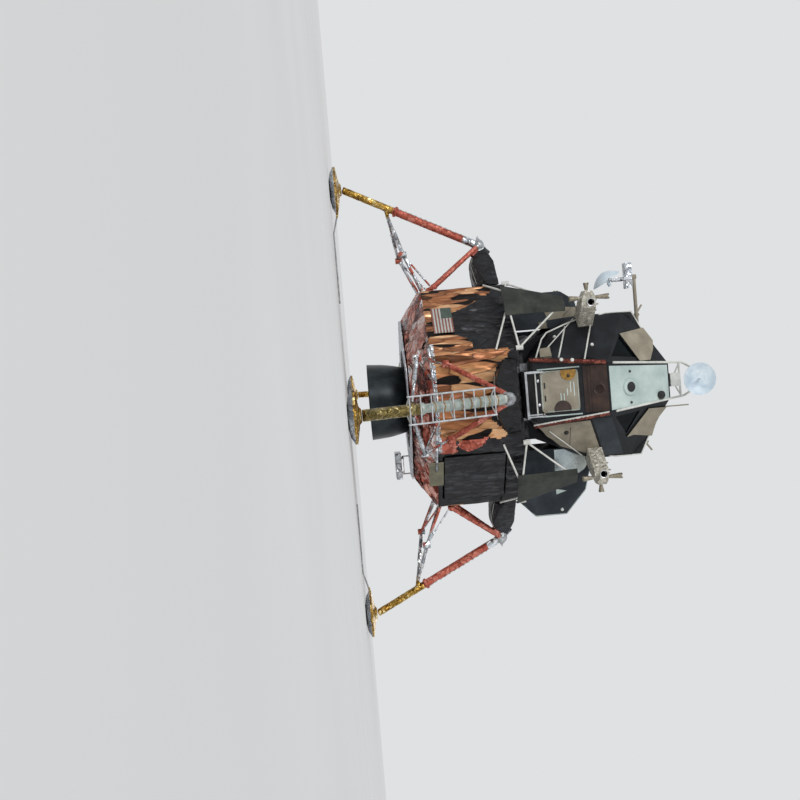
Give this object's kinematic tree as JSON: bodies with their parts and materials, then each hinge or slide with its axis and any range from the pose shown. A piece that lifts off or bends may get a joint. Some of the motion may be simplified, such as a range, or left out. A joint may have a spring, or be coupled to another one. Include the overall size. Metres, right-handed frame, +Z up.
{
  "type": "lunar module",
  "caption": "Two-stage crewed lander: foil-wrapped octagonal base on splayed legs with a ladder, under a faceted cabin with a hatch, windows and thrusters.",
  "frame": {"origin": "floor under the footpads, straight below the descent engine", "axes": "+Z up, -Y the front with the hatch and ladder, +X the craft's port side"},
  "size_m": [9.44, 9.44, 6.985],
  "materials": {
    "amber_foil": "crinkled amber polyimide film blanket",
    "black_foil": "crinkled black film blanket",
    "red_foil": "salmon red aluminised film wrap",
    "gold_foil": "crinkled gold film over the pad",
    "silver_foil": "aluminised film and bare alloy",
    "base_shield": "bright heat shield skin",
    "bay_foil": "crinkled metal foil heat shield",
    "bell_alloy": "dark coated refractory alloy",
    "bare_metal": "machined alloy",
    "ladder_metal": "bare alloy tube",
    "black_panel": "thin black anodised sheet with pale seams",
    "olive_panel": "olive beige thermal paint",
    "window_glass": "coated dark glass",
    "white_tube": "white painted tube",
    "quad_housing": "beige wrap over the thruster cluster",
    "deflector_sheet": "dark heat resistant sheet",
    "dish_white": "pale thermal paint"
  },
  "bodies": {
    "lander": {"aft_equipment_bay": "black_panel", "antenna_boom": "bare_metal", "base_plate": "base_shield", "bay_lining": "bay_foil", "cabin_face": "black_panel", "cabin_shell": "black_panel", "deflector_trusses": "white_tube", "descent_body": "amber_foil", "docking_tunnel": "bare_metal", "fixed_antennas": "olive_panel", "footpad_aft": "gold_foil", "footpad_front": "gold_foil", "footpad_port": "gold_foil", "footpad_starboard": "gold_foil", "front_braces": "red_foil", "gear_trusses": "silver_foil", "interstage_fittings": "bare_metal", "ladder": "ladder_metal", "landing_radar_bracket": "bare_metal", "midsection": "black_panel", "outrigger_aft": "black_foil", "outrigger_front": "black_foil", "outrigger_port": "black_foil", "outrigger_starboard": "black_foil", "plume_deflector_port_aft": "deflector_sheet", "plume_deflector_port_front": "deflector_sheet", "plume_deflector_starboard_aft": "deflector_sheet", "plume_deflector_starboard_front": "deflector_sheet", "porch": "ladder_metal", "primary_strut_aft": "red_foil", "primary_strut_front": "red_foil", "primary_strut_port": "red_foil", "primary_strut_starboard": "red_foil", "radar_pedestal": "bare_metal", "side_struts_aft": "silver_foil", "side_struts_front": "silver_foil", "side_struts_port": "silver_foil", "side_struts_starboard": "silver_foil", "tank_fairing_port": "black_panel", "tank_fairing_starboard": "black_panel", "thruster_quad_port_aft": "quad_housing", "thruster_quad_port_front": "quad_housing", "thruster_quad_starboard_aft": "quad_housing", "thruster_quad_starboard_front": "quad_housing", "window_glass": "window_glass", "window_visors": "olive_panel"},
    "forward_hatch": {"forward_hatch": "olive_panel"},
    "overhead_hatch": {"overhead_hatch": "bare_metal"},
    "radar_yoke": {"radar_yoke": "bare_metal"},
    "radar_dish": {"radar_dish": "dish_white"},
    "antenna_yoke": {"antenna_yoke": "silver_foil"},
    "antenna_dish": {"antenna_dish": "dish_white"},
    "gimbal_ring": {"gimbal_ring": "bare_metal"},
    "descent_engine": {"engine_bell": "bell_alloy", "engine_chamber": "bell_alloy"},
    "landing_radar": {"landing_radar": "silver_foil"},
    "stowage_pallet": {"stowage_pallet": "black_foil"},
    "probe_port": {"contact_probe_port": "silver_foil"},
    "probe_aft": {"contact_probe_aft": "silver_foil"},
    "probe_starboard": {"contact_probe_starboard": "silver_foil"}
  },
  "joints": [
    {"name": "forward_hatch_swing", "type": "hinge", "parent": "lander", "child": "forward_hatch", "pos_m": [-0.41, -1.715, 3.97], "axis": [0, 0, 1], "range_deg": [0, 85]},
    {"name": "overhead_hatch_swing", "type": "hinge", "parent": "lander", "child": "overhead_hatch", "pos_m": [0, 0.46, 5.7], "axis": [1, 0, 0], "range_deg": [0, 75]},
    {"name": "radar_shaft", "type": "hinge", "parent": "lander", "child": "radar_yoke", "pos_m": [0, -1.45, 6.63], "axis": [1, 0, 0], "range_deg": [-60, 60]},
    {"name": "radar_trunnion", "type": "hinge", "parent": "radar_yoke", "child": "radar_dish", "pos_m": [0, -1.45, 6.63], "axis": [0, 0, 1], "range_deg": [-50, 50]},
    {"name": "antenna_azimuth", "type": "hinge", "parent": "lander", "child": "antenna_yoke", "pos_m": [-2.04, -0.8, 5.745], "axis": [0, 0, 1], "range_deg": [-87, 87]},
    {"name": "antenna_elevation", "type": "hinge", "parent": "antenna_yoke", "child": "antenna_dish", "pos_m": [-2.01, -0.8, 5.21], "axis": [0, 1, 0], "range_deg": [-75, 60]},
    {"name": "engine_pitch", "type": "hinge", "parent": "lander", "child": "gimbal_ring", "pos_m": [0, 0, 2.05], "axis": [1, 0, 0], "range_deg": [-6, 6]},
    {"name": "engine_roll", "type": "hinge", "parent": "gimbal_ring", "child": "descent_engine", "pos_m": [0, 0, 2.05], "axis": [0, 1, 0], "range_deg": [-6, 6]},
    {"name": "landing_radar_tilt", "type": "hinge", "parent": "lander", "child": "landing_radar", "pos_m": [1.43, 1.18, 1.06], "axis": [1, 0, 0], "range_deg": [0, 24]},
    {"name": "stowage_pallet_fold", "type": "hinge", "parent": "lander", "child": "stowage_pallet", "pos_m": [1.47432, -1.47432, 1.725], "axis": [0.7071, 0.7071, 0], "range_deg": [0, 90]},
    {"name": "probe_port_fold", "type": "hinge", "parent": "lander", "child": "probe_port", "pos_m": [3.745, 0, 0.11], "axis": [0, 1, 0], "range_deg": [-90, 60]},
    {"name": "probe_aft_fold", "type": "hinge", "parent": "lander", "child": "probe_aft", "pos_m": [0, 3.745, 0.11], "axis": [-1, 0, 0], "range_deg": [-90, 60]},
    {"name": "probe_starboard_fold", "type": "hinge", "parent": "lander", "child": "probe_starboard", "pos_m": [-3.745, 0, 0.11], "axis": [0, -1, 0], "range_deg": [-90, 60]}
  ]
}
